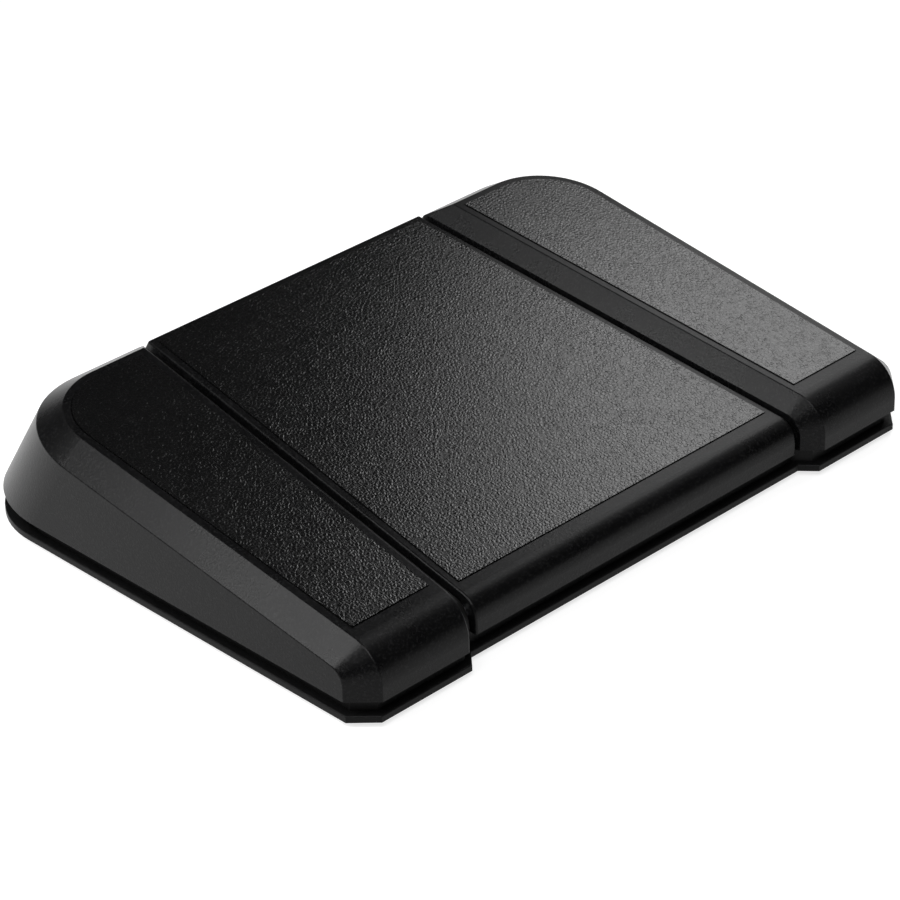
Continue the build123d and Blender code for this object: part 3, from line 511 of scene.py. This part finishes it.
class FinishBook:
    """All the finishes of the foot switch, by name."""

    finishes = (
        Finish("pedal_satin", (0.0028, 0.0028, 0.003), 0.28, pitch=0.0008, depth=0.00005, specular=0.11,
               wear=0.12, dust=0.003, painted_glint=0.35),
        Finish("tread_grain", (0.002, 0.002, 0.0021), 0.19, pitch=0.0012, depth=0.000105,
               grain=Grain.PEBBLE, mottle=0.10, dust=0.003),
        Finish("tray_black", (0.003, 0.003, 0.0031), 0.5, pitch=0.00035, depth=0.000012, specular=0.12),
        Finish("plate_powder", (0.003, 0.003, 0.0031), 0.45, pitch=0.00045, depth=0.00002, specular=0.10,
               grain=Grain.POWDER, wear=0.2),
        Finish("foot_rubber", (0.018, 0.018, 0.018), 0.75, pitch=0.0005, depth=0.00003, specular=0.3,
               dust=0.02),
        Finish("black_steel", (0.09, 0.09, 0.095), 0.32, pitch=0.0003, depth=0.000005, metallic=1.0,
               wear=0.6),
        Finish("bright_steel", (0.62, 0.62, 0.64), 0.26, pitch=0.0002, depth=0.000003, metallic=1.0),
        Finish("spring_steel", (0.42, 0.42, 0.44), 0.30, pitch=0.0002, depth=0.000003, metallic=1.0),
        Finish("acetal_white", (0.72, 0.71, 0.67), 0.38, pitch=0.0004, depth=0.000006),
        Finish("switch_black", (0.02, 0.02, 0.022), 0.42, pitch=0.0003, depth=0.00001),
        Finish("tinned_brass", (0.72, 0.6, 0.34), 0.3, pitch=0.0002, depth=0.000003, metallic=1.0),
        Finish("board_green", (0.01, 0.09, 0.035), 0.3, pitch=0.0006, depth=0.000008, coat=0.4),
        Finish("plug_cream", (0.72, 0.69, 0.6), 0.4, pitch=0.0004, depth=0.000006),
        Finish("chip_black", (0.02, 0.02, 0.02), 0.5, pitch=0.0002, depth=0.000006),
        Finish("wire_red", (0.42, 0.02, 0.015), 0.42, pitch=0.0006, depth=0.000006),
    )

    def __init__(self) -> None:
        """Builds every material once."""
        shelf = GroupShelf()
        self.materials = {finish.name: finish.material(shelf) for finish in self.finishes}

    def dress(self, piece: bpy.types.Object, name: str) -> None:
        """Gives a piece one finish in all its slots.

        Args:
            piece: the object to dress.
            name: name of the finish.
        """
        slots = piece.data.materials
        if not slots:
            slots.append(self.materials[name])
        for index in range(len(slots)):
            slots[index] = self.materials[name]


@dataclass(frozen=True)
class CameraStand:
    """The camera at the photograph's place, found from its measured edges.

    Attributes:
        target: point that it looks at.
        azimuth: degrees from -Y towards -X.
        elevation: degrees above the floor.
        roll: degrees that it leans.
        distance: metres from the target.
        lens: focal length in millimetres.
        sensor: width of the sensor in millimetres.
        clip: nearest and farthest distance that it sees.
    """

    target: tuple = (-0.022703, -0.027604, 0.027)
    azimuth: float = 43.911
    elevation: float = 30.566
    roll: float = -1.429
    distance: float = 1.108423
    lens: float = 144.57
    sensor: float = 36.0
    clip: tuple = (0.05, 50.0)

    def build(self) -> None:
        """Makes the camera and hands it to the scene.

        Its back points from the target to the camera, its right is level, and both are turned by the roll.
        """
        az, el, roll = (math.radians(v) for v in (self.azimuth, self.elevation, self.roll))
        back = Vector((-math.sin(az) * math.cos(el), -math.cos(az) * math.cos(el), math.sin(el)))
        right = (-back).cross(Vector((0.0, 0.0, 1.0))).normalized()
        up = right.cross(-back)
        x_axis = right * math.cos(roll) + up * math.sin(roll)
        y_axis = -right * math.sin(roll) + up * math.cos(roll)
        data = bpy.data.cameras.new("studio_camera")
        data.lens = self.lens
        data.sensor_width = self.sensor
        data.clip_start, data.clip_end = self.clip
        camera = bpy.data.objects.new("studio_camera", data)
        place = Matrix((x_axis, y_axis, back)).transposed().to_4x4()
        place.translation = Vector(self.target) + back * self.distance
        camera.matrix_world = place
        bpy.context.scene.collection.objects.link(camera)
        bpy.context.scene.camera = camera


@dataclass(frozen=True)
class Softbox:
    """A rectangular lamp that looks at the middle of the object.

    Attributes:
        name: name of the lamp.
        azimuth: degrees from +Y towards +X.
        elevation: degrees above the floor.
        distance: metres from the middle of the object.
        width: metres across.
        height: metres along.
        power: watts.
        aim_height: metres above the floor that it looks at.
    """

    name: str
    azimuth: float
    elevation: float
    distance: float
    width: float
    height: float
    power: float
    aim_height: float = 0.03

    def build(self) -> None:
        """Makes the lamp on a sphere round the middle of the object, facing inwards."""
        data = bpy.data.lights.new(self.name, "AREA")
        data.shape = "RECTANGLE"
        data.size, data.size_y = self.width, self.height
        data.energy = self.power
        lamp = bpy.data.objects.new(self.name, data)
        az, el = math.radians(self.azimuth), math.radians(self.elevation)
        way = Vector((math.sin(az) * math.cos(el), math.cos(az) * math.cos(el), math.sin(el)))
        lamp.location = way * self.distance + Vector((0.0, 0.0, self.aim_height))
        lamp.rotation_mode = "QUATERNION"
        lamp.rotation_quaternion = way.to_track_quat("Z", "Y")
        bpy.context.scene.collection.objects.link(lamp)


@dataclass(frozen=True)
class Studio:
    """Pale floor, even surroundings and softboxes.

    Attributes:
        boxes: the lamps.
        ambient: strength of the even grey that lights the object.
        floor_glow: white that the floor shows of itself.
        backdrop_rise: sine of a mirrored ray's rise from the white backdrop to the dark studio above it.
        floor_tone: how much lamp light the floor sends back.
        floor_size: metres across.
    """

    boxes: tuple = (
        Softbox("key_right", 78.5, 35.0, 0.45, 0.20, 0.28, 0.56),
        Softbox("over_front", 97.0, 56.0, 0.55, 0.25, 0.25, 0.30),
        Softbox("rim_back", -46.0, 51.0, 0.60, 0.40, 0.40, 0.44),
        Softbox("side_left", -75.0, 40.0, 0.60, 0.30, 0.30, 2.60),
        Softbox("right_back", 62.0, 33.0, 0.30, 0.09, 0.09, 0.042),
        Softbox("front_right", 120.0, 40.0, 0.45, 0.16, 0.16, 0.03),
        Softbox("fill_front", 224.0, 58.0, 1.60, 1.0, 1.0, 17.0),
    )
    ambient: float = 0.03
    floor_glow: float = 0.75
    backdrop_rise: tuple = (0.05, 0.15)
    floor_tone: float = 0.40
    floor_size: float = 6.0

    def build(self) -> None:
        """Makes the world, the floor and the lamps."""
        self._world()
        self._floor()
        for box in self.boxes:
            box.build()
        bpy.context.scene.view_settings.view_transform = "Standard"

    @staticmethod
    def _even(w: Wiring, strength: float) -> bpy.types.NodeSocket:
        """Adds a white background of one strength and returns its output."""
        made = w.node("ShaderNodeBackground")
        w.feed(made.inputs["Color"], WHITE)
        w.feed(made.inputs["Strength"], strength)
        return made.outputs[0]

    def _world(self) -> None:
        """World: white behind the object, an even grey for the light.

        The camera sees white everywhere. A mirrored ray sees it where the sine of its rise is below
        backdrop_rise, as from a backdrop that stands behind the floor, with the dark studio above it.
        """
        world = bpy.data.worlds.new("studio")
        world.use_nodes = True
        bpy.context.scene.world = world
        w = Wiring(world.node_tree)
        world.node_tree.nodes.clear()
        path = w.node("ShaderNodeLightPath")
        way = w.node("ShaderNodeSeparateXYZ")
        w.feed(way.inputs[0], w.node("ShaderNodeTexCoord").outputs["Generated"])
        backdrop = w.ramp(way.outputs["Z"], *self.backdrop_rise, 1.0, 0.0)
        mirrored = w.sums("MULTIPLY", path.outputs["Is Glossy Ray"], backdrop)
        direct = w.sums("MAXIMUM", path.outputs["Is Camera Ray"], path.outputs["Is Transmission Ray"])
        seen = w.sums("MAXIMUM", direct, mirrored)
        mix = w.node("ShaderNodeMixShader")
        for socket, source in zip(mix.inputs, (seen, self._even(w, self.ambient), self._even(w, 1.0))):
            w.feed(socket, source)
        w.feed(w.node("ShaderNodeOutputWorld").inputs["Surface"], mix.outputs[0])

    def _floor(self) -> None:
        """Floor: a sheet that keeps the object's shadow and shows white to all rays that look at it."""
        half = self.floor_size / 2
        mesh = bpy.data.meshes.new("studio_floor")
        corners = [(-half, -half, 0.0), (half, -half, 0.0), (half, half, 0.0), (-half, half, 0.0)]
        mesh.from_pydata(corners, [], [(0, 1, 2, 3)])
        floor = bpy.data.objects.new("studio_floor", mesh)
        bpy.context.scene.collection.objects.link(floor)
        made = bpy.data.materials.new("floor_white")
        made.use_nodes = True
        w = Wiring(made.node_tree)
        made.node_tree.nodes.clear()
        path = w.node("ShaderNodeLightPath")
        mirrored = w.sums("MAXIMUM", path.outputs["Is Glossy Ray"], path.outputs["Is Transmission Ray"])
        seen = w.sums("MAXIMUM", path.outputs["Is Camera Ray"], mirrored)
        matte = w.node("ShaderNodeBsdfDiffuse")
        w.feed(matte.inputs["Color"], (*([self.floor_tone] * 3), 1.0))
        glow = w.node("ShaderNodeEmission")
        w.feed(glow.inputs["Color"], WHITE)
        w.feed(glow.inputs["Strength"], w.sums("MULTIPLY", seen, self.floor_glow))
        both = w.node("ShaderNodeAddShader")
        w.feed(both.inputs[0], matte.outputs[0])
        w.feed(both.inputs[1], glow.outputs[0])
        w.feed(w.node("ShaderNodeOutputMaterial").inputs["Surface"], both.outputs[0])
        mesh.materials.append(made)


class Shell:
    """Vertices and faces of one new piece, gathered from grids of points."""

    def __init__(self, name: str) -> None:
        """Starts an empty piece."""
        self.name = name
        self.points: list = []
        self.faces: list = []

    def add_grid(self, grid: np.ndarray) -> None:
        """Adds a closed tube of quads, whose rows are rings, with faces that point outwards.

        A face points outwards when the sum of each normal times its corner, taken from the middle of all
        points, is above zero. Otherwise all faces are turned round.

        Args:
            grid: array of rings x points in a ring x 3, in metres.
        """
        rings, around = grid.shape[:2]
        index = np.arange(rings * around).reshape(rings, around)
        ahead = np.roll(index, -1, axis=1)
        quads = np.stack([index[:-1], ahead[:-1], ahead[1:], index[1:]], axis=-1).reshape(-1, 4)
        flat = grid.reshape(-1, 3)
        faces = quads.tolist() + [index[0][::-1].tolist(), index[-1].tolist()]
        corners = flat[quads] - flat.mean(axis=0)
        normals = np.cross(corners[:, 1] - corners[:, 0], corners[:, 2] - corners[:, 0])
        if (normals * corners[:, 0]).sum() < 0:
            faces = [face[::-1] for face in faces]
        start = len(self.points)
        self.points += flat.tolist()
        self.faces += [[start + corner for corner in face] for face in faces]

    def add_box(self, low: Sequence[float], high: Sequence[float]) -> None:
        """Adds a small box between two corners."""
        ring = [(low[0], low[1]), (high[0], low[1]), (high[0], high[1]), (low[0], high[1])]
        self.add_grid(np.array([[(x, y, z) for x, y in ring] for z in (low[2], high[2])]))

    def build(self, finish: str, slot: str, book: FinishBook, crease: float = 35.0) -> bpy.types.Object:
        """Makes the object and dresses it.

        Args:
            finish: name of its finish.
            slot: the record's material slot; not used.
            book: the finishes.
            crease: angle in degrees above which an edge stays sharp.

        Returns:
            The new object, at the origin.
        """
        mesh = bpy.data.meshes.new(self.name)
        mesh.from_pydata(self.points, [], self.faces)
        mesh.polygons.foreach_set("use_smooth", [True] * len(mesh.polygons))
        mesh.set_sharp_from_angle(angle=math.radians(crease))
        piece = bpy.data.objects.new(self.name, mesh)
        bpy.context.scene.collection.objects.link(piece)
        book.dress(piece, finish)
        LOG.info("%s: %d faces, %s", self.name, len(self.faces), finish)
        return piece


def corners_of(node: str) -> tuple:
    """Lowest and highest corner of a carried-over node as arrays, in metres."""
    low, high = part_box(node)
    return np.array(low), np.array(high)


@dataclass(frozen=True)
class ReturnSprings:
    """Round-wire compression springs with closed, flattened ends in place of the faceted ones.

    Attributes:
        node: the node that they replace.
        side: the pedal that they lift.
        wire: radius of the wire in metres.
        turns: turns from end to end.
        steps: rings of the grid in each turn.
        around: points in each ring.
        keep: height at the end of the pedal's travel, against the height at rest; not used.
    """

    node: str
    side: str
    wire: float = 0.0006
    turns: float = 6.5
    steps: int = 36
    around: int = 12
    keep: float = 0.853

    def build(self, book: FinishBook) -> None:
        """Makes the node's one or two coils.

        Args:
            book: the finishes.
        """
        low, high = corners_of(self.node)
        half = (high[1] - low[1]) / 2
        shell = Shell(f"{self.side}_round_wire_springs")
        for x in sorted({round(float(low[0] + half), 6), round(float(high[0] - half), 6)}):
            shell.add_grid(self._coil(x, (low[1] + high[1]) / 2, low[2], high[2], half))
        piece = shell.build("spring_steel", "spring_steel", book)
        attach(piece, "base")
        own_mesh(piece)
        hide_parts(self.node)

    def _coil(self, x: float, y: float, low: float, high: float, half: float) -> np.ndarray:
        """Grid of one coil.

        The wire's middle runs round at radius R = half - wire. Its height rises by one wire diameter over
        the first and over the last turn, and evenly between them. Each ring of the grid is a circle of the
        wire's radius, square to the wire.

        Args:
            x: the coil's axis across.
            y: the coil's axis along.
            low: lowest height of the wire.
            high: highest height of the wire.
            half: outer radius of the coil.

        Returns:
            The grid, rings x points x 3.
        """
        radius = half - self.wire
        turn = np.linspace(0.0, self.turns, int(self.turns * self.steps) + 1)
        bottom, top = low + self.wire, high - self.wire
        height = np.interp(turn, [0.0, 1.0, self.turns - 1.0, self.turns],
                           [bottom, bottom + 2 * self.wire, top - 2 * self.wire, top])
        angle = 2 * math.pi * turn
        out = np.stack([np.cos(angle), np.sin(angle), np.zeros_like(angle)], axis=1)
        path = out * radius + np.stack([np.full_like(turn, x), np.full_like(turn, y), height], axis=1)
        along = np.gradient(path, axis=0)
        along /= np.linalg.norm(along, axis=1, keepdims=True)
        across = np.cross(along, out)
        ring = 2 * math.pi * np.arange(self.around) / self.around
        return (path[:, None] + self.wire * (np.cos(ring)[None, :, None] * out[:, None]
                                             + np.sin(ring)[None, :, None] * across[:, None]))


@dataclass(frozen=True)
class GroovedFeet:
    """Rubber feet with cross grooves in their undersides, in place of the plain ones.

    Attributes:
        node: the node that they replace.
        length: metres across the base.
        width: metres along the base.
        corner: radius of the corners.
        groove_pitch: metres from groove to groove.
        groove_depth: depth of a groove.
        groove_level: wave height above which there is a groove.
        groove_slope: how fast a groove's side falls with the wave.
        edge: chamfer of the lower edges.
        stations: cross-sections along the foot, less one.
        crease: angle in degrees above which an edge stays sharp.
    """

    node: str = "rubber_feet"
    length: float = 0.046
    width: float = 0.013
    corner: float = 0.005
    groove_pitch: float = 0.0023
    groove_depth: float = 0.0005
    groove_level: float = 0.35
    groove_slope: float = 4.0
    edge: float = 0.0004
    stations: int = 240
    crease: float = 50.0

    def build(self, book: FinishBook) -> None:
        """Makes the four feet at the corners of the node's box.

        Args:
            book: the finishes.
        """
        low, high = corners_of(self.node)
        shell = Shell("grooved_rubber_feet")
        for x in (low[0] + self.length / 2, high[0] - self.length / 2):
            for y in (low[1] + self.width / 2, high[1] - self.width / 2):
                shell.add_grid(self._foot(float(x), float(y), float(low[2]), float(high[2])))
        piece = shell.build("foot_rubber", "foot_rubber", book, self.crease)
        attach(piece, "base")
        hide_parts(self.node)

    def _foot(self, x: float, y: float, low: float, high: float) -> np.ndarray:
        """Grid of one foot, a row of cross-sections along X.

        With d how far a station lies inside a round end, the half width is
        h = width / 2 - corner + sqrt(corner^2 - d^2). The underside lies at low, and in a groove at
        low + groove_depth; a groove is where cos(2 pi x / groove_pitch) is above groove_level.
        Each section is a loop of eight points with chamfered lower edges.

        Args:
            x: middle of the foot across.
            y: middle of the foot along.
            low: height of the floor face.
            high: height of the face against the plate.

        Returns:
            The grid, sections x points x 3.
        """
        run = np.linspace(-self.length / 2, self.length / 2, self.stations + 1)
        inside = np.clip(np.abs(run) - (self.length / 2 - self.corner), 0.0, self.corner)
        half = self.width / 2 - self.corner + np.sqrt(self.corner ** 2 - inside ** 2)
        wave = np.cos(2 * math.pi * run / self.groove_pitch)
        groove = np.clip((wave - self.groove_level) * self.groove_slope, 0.0, 1.0)
        end = np.clip((self.length / 2 - self.corner - np.abs(run)) / self.groove_pitch, 0.0, 1.0)
        under = low + self.groove_depth * groove * end
        flat = np.maximum(half - self.edge, 0.0)
        lip, top = np.full_like(run, low + self.edge), np.full_like(run, high)
        sections = [(-half, lip), (-flat, under), (-flat / 3, under), (flat / 3, under), (flat, under),
                    (half, lip), (half, top), (-half, top)]
        loops = [np.stack([x + run, y + across, up], axis=1) for across, up in sections]
        return np.stack(loops, axis=1)


@dataclass(frozen=True)
class BaseScrews:
    """Countersunk screws with a cross recess and a rolled thread, in place of the plain ones.

    Attributes:
        node: the node that they replace.
        head_radius: radius of the flat face.
        head_height: height of the cone under it.
        shank_radius: radius over the thread.
        thread_pitch: metres from thread to thread.
        thread_depth: depth of the thread.
        recess_reach: length of an arm of the cross.
        recess_half: half the width of an arm.
        recess_wall: width of an arm's sloping side.
        recess_run: metres over which an arm's end slopes up.
        recess_depth: depth of the cross.
        tip_radius: radius of the point.
        tip_share: length of the point against the shank's radius.
        hub: radius of the innermost ring.
        around: points in each ring.
        face_rings: rings on the flat face.
        shank_rings: rings on the shank.
        crease: angle in degrees above which an edge stays sharp.
        gather: head radii within which vertices belong to one screw.
    """

    node: str = "base_screws"
    head_radius: float = 0.00275
    head_height: float = 0.0017
    shank_radius: float = 0.0015
    thread_pitch: float = 0.0007
    thread_depth: float = 0.00022
    recess_reach: float = 0.0015
    recess_half: float = 0.00036
    recess_wall: float = 0.00012
    recess_run: float = 0.0007
    recess_depth: float = 0.0011
    tip_radius: float = 0.0003
    tip_share: float = 0.8
    hub: float = 0.00002
    around: int = 64
    face_rings: int = 22
    shank_rings: int = 44
    crease: float = 40.0
    gather: float = 2.2

    def build(self, book: FinishBook) -> None:
        """Makes one screw at each place where the node has one.

        Args:
            book: the finishes.
        """
        low, high = corners_of(self.node)
        shell = Shell("cross_recess_screws")
        for x, y in self._places():
            shell.add_grid(self._screw(x, y, float(low[2]), float(high[2])))
        piece = shell.build("black_steel", "screw_steel", book, self.crease)
        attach(piece, "base")
        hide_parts(self.node)

    def _places(self) -> list:
        """Finds the middles of the node's solids by gathering its vertices within a head's reach.

        Returns:
            The middles, as pairs of X and Y.
        """
        mesh = bpy.data.objects[self.node].data
        points = np.empty(len(mesh.vertices) * 3)
        mesh.vertices.foreach_get("co", points)
        points = points.reshape(-1, 3)[:, :2]
        places = []
        while len(points):
            near = np.linalg.norm(points - points[0], axis=1) < self.gather * self.head_radius
            found = points[near]
            places.append(tuple(float(v) for v in (found.min(axis=0) + found.max(axis=0)) / 2))
            points = points[~near]
        return places

    def _screw(self, x: float, y: float, low: float, high: float) -> np.ndarray:
        """Grid of one screw, rings from the middle of its head's flat face to its point.

        On the flat face a point's height is low + recess_depth x wall x taper. Wall rises from 0 to 1 over
        recess_wall as the point comes within recess_half of either arm of the cross, and taper over
        recess_run as it comes within recess_reach of the middle. On the shank the radius is
        shank_radius - thread_depth x |2 frac(height / pitch - angle / 2 pi) - 1|.

        Args:
            x: the screw's axis across.
            y: the screw's axis along.
            low: height of the flat face.
            high: height of the point.

        Returns:
            The grid, rings x points x 3.
        """
        angle = 2 * math.pi * np.arange(self.around) / self.around
        face = np.linspace(self.hub, self.head_radius, self.face_rings)
        reach, turn = np.meshgrid(face, angle, indexing="ij")
        off_arm = np.minimum(np.abs(reach * np.sin(turn)), np.abs(reach * np.cos(turn)))
        wall = np.clip((self.recess_half - off_arm) / self.recess_wall, 0.0, 1.0)
        taper = np.clip((self.recess_reach - reach) / self.recess_run, 0.0, 1.0)
        flat = np.stack([reach, low + self.recess_depth * wall * taper], axis=-1)
        tip_start = high - self.shank_radius * self.tip_share
        rise = np.linspace(low + self.head_height, tip_start, self.shank_rings)
        height, turn = np.meshgrid(rise, angle, indexing="ij")
        saw = np.abs(2 * np.mod(height / self.thread_pitch - turn / (2 * math.pi), 1.0) - 1)
        shank = np.stack([self.shank_radius - self.thread_depth * saw, height], axis=-1)
        tip = np.stack([np.full_like(angle, self.tip_radius), np.full_like(angle, high)], axis=-1)[None]
        profile = np.concatenate([flat, shank, tip])
        return np.stack([x + profile[..., 0] * np.cos(angle), y + profile[..., 0] * np.sin(angle),
                         profile[..., 1]], axis=-1)


@dataclass(frozen=True)
class InletContacts:
    """Twelve flat contacts on each face of the inlet's tongue.

    Attributes:
        node: the node that carries them.
        count: contacts on each face.
        pitch: metres from contact to contact.
        width: metres across one.
        length: metres along one.
        rise: how far they stand out of the face.
        inset: metres from the tongue's end.
    """

    node: str = "usb_tongue"
    count: int = 12
    pitch: float = 0.0005
    width: float = 0.00028
    length: float = 0.0028
    rise: float = 0.00003
    inset: float = 0.0006

    def build(self, book: FinishBook) -> None:
        """Makes both rows of contacts.

        Args:
            book: the finishes.
        """
        low, high = corners_of(self.node)
        middle = (low[0] + high[0]) / 2
        back = high[1] - self.inset
        shell = Shell("inlet_contacts")
        for place in range(self.count):
            x = middle + (place - (self.count - 1) / 2) * self.pitch
            for z in (low[2], high[2]):
                shell.add_box((x - self.width / 2, back - self.length, z - self.rise),
                              (x + self.width / 2, back, z + self.rise))
        piece = shell.build("tinned_brass", "contact_brass", book)
        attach(piece, "base")


class Dresser:
    """Gives every carried-over solid its finish."""

    table = {
        "pedal_satin": [f"{side}_pedal_housing" for side in SIDES],
        "tread_grain": [f"{side}_tread_pad" for side in SIDES],
        "tray_black": ["base_tray", "shaft_caps"],
        "plate_powder": ["base_plate"],
        "foot_rubber": ["rubber_feet", "stop_bumpers"],
        "black_steel": ["base_screws"],
        "bright_steel": ["hinge_shaft", "shaft_clips", "shaft_cap_screws", "switch_screws", "board_screws",
                         "usb_receptacle"],
        "spring_steel": ["left_return_spring", "centre_return_springs", "right_return_spring"]
        + [f"{side}_switch_lever" for side in SIDES],
        "acetal_white": [f"{side}_{part}" for part in ("hinge_bushes", "switch_plunger") for side in SIDES],
        "switch_black": [f"{side}_switch_body" for side in SIDES],
        "tinned_brass": ["switch_terminals"],
        "board_green": ["control_board"],
        "plug_cream": ["board_plugs"],
        "chip_black": ["microcontroller", "usb_tongue"],
        "wire_red": [f"{side}_switch_leads" for side in SIDES],
    }

    def __init__(self, frame: dict, book: FinishBook) -> None:
        """Keeps the loaded frame and the finishes."""
        self.frame = frame
        self.book = book

    def dress(self) -> None:
        """Dresses all the nodes and reports each one."""
        for finish, nodes in self.table.items():
            for node in nodes:
                self.book.dress(self.frame["nodes"][node], finish)
                LOG.info("%s: %s", node, finish)


def main() -> None:
    """Builds the whole scene in order."""
    logging.basicConfig(level=logging.INFO, format="%(name)s: %(message)s")
    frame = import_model()
    CameraStand().build()
    Studio().build()
    book = FinishBook()
    Dresser(frame, book).dress()
    springs = zip(("left_return_spring", "centre_return_springs", "right_return_spring"), SIDES)
    pieces = [*(ReturnSprings(node, side) for node, side in springs), GroovedFeet(), BaseScrews(),
              InletContacts()]
    for piece in pieces:
        piece.build(book)


if __name__ == "__main__":
    main()
